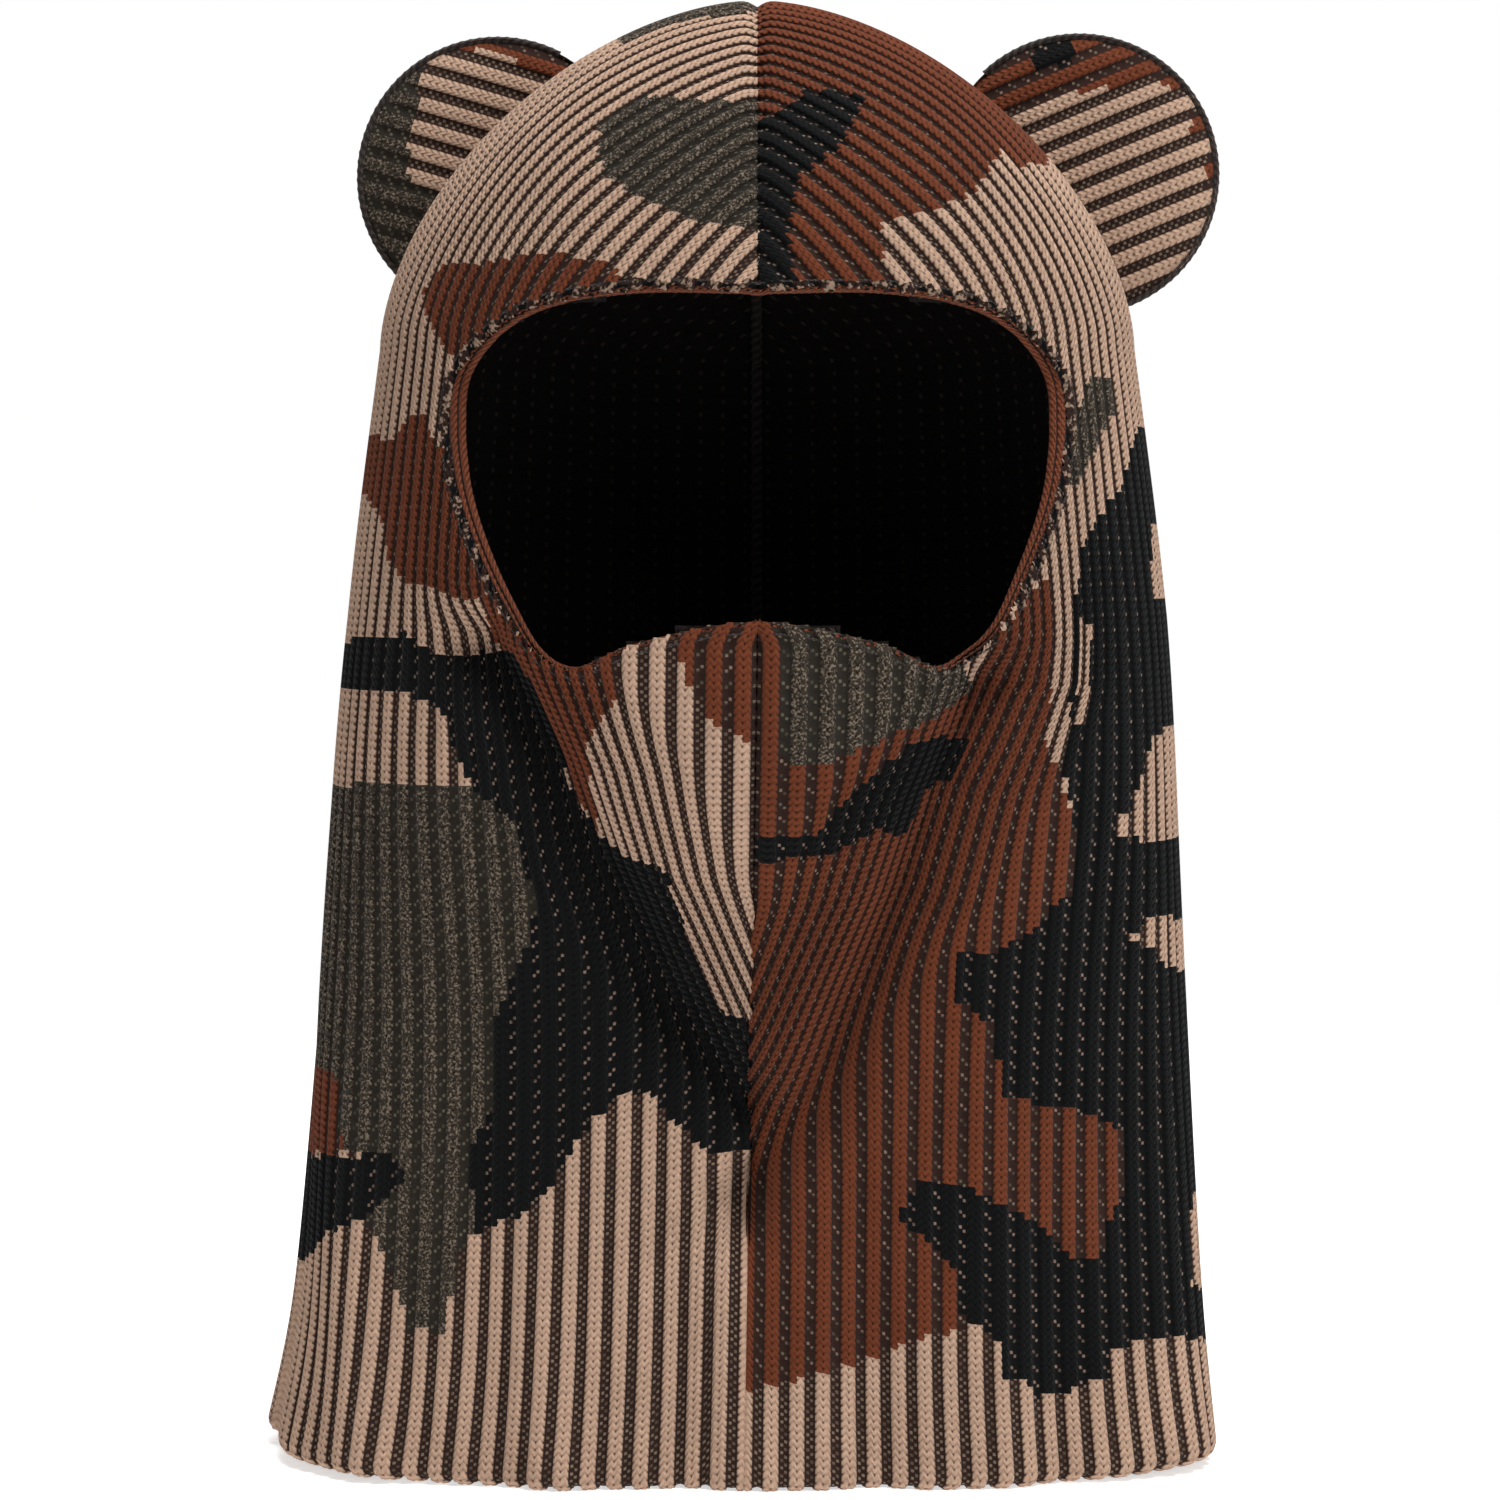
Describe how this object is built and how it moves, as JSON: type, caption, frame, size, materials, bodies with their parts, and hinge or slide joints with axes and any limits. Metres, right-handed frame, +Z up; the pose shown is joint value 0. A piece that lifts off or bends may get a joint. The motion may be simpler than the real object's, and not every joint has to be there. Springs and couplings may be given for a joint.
{
  "type": "knitted hood face mask",
  "caption": "Rib-knit camouflage hood with one face opening, a flared neck skirt, a folded hem and two padded round ears.",
  "frame": {"origin": "middle of the neck opening, level with the hem's lower edge", "axes": "+Z up, the wearer looks along -Y, the wearer's left is +X"},
  "size_m": [0.248, 0.1959, 0.381],
  "materials": {
    "camo_knit": "matte two-colour rib jacquard knit",
    "rust_knit": "matte plain knit, rolled edge",
    "seam_thread": "dull overlock thread",
    "padding": "loose fibre wadding"
  },
  "bodies": {
    "hood": {"right_panel": "camo_knit", "right_face_binding": "rust_knit", "right_binding_stitching": "seam_thread", "right_hem_fold": "camo_knit", "right_ear_foot": "camo_knit", "left_panel": "camo_knit", "left_face_binding": "rust_knit", "left_binding_stitching": "seam_thread", "left_hem_fold": "camo_knit", "left_ear_foot": "camo_knit", "chin_seam": "seam_thread", "crown_and_back_seam": "seam_thread", "hem_stitching": "seam_thread"},
    "right_ear": {"right_ear_front": "camo_knit", "right_ear_back": "camo_knit", "right_ear_padding": "padding", "right_ear_edge_seam": "seam_thread"},
    "left_ear": {"left_ear_front": "camo_knit", "left_ear_back": "camo_knit", "left_ear_padding": "padding", "left_ear_edge_seam": "seam_thread"}
  },
  "joints": [
    {"name": "right_ear_nod", "type": "hinge", "parent": "hood", "child": "right_ear", "pos_m": [-0.07635, 0.008, 0.3415], "axis": [0.5592, 0, 0.829], "range_deg": [-25, 25], "stiffness_Nm_per_rad": 0.03},
    {"name": "left_ear_nod", "type": "hinge", "parent": "hood", "child": "left_ear", "pos_m": [0.08144, 0.008, 0.33514], "axis": [0.4848, 0, -0.8746], "range_deg": [-25, 25], "stiffness_Nm_per_rad": 0.03}
  ]
}
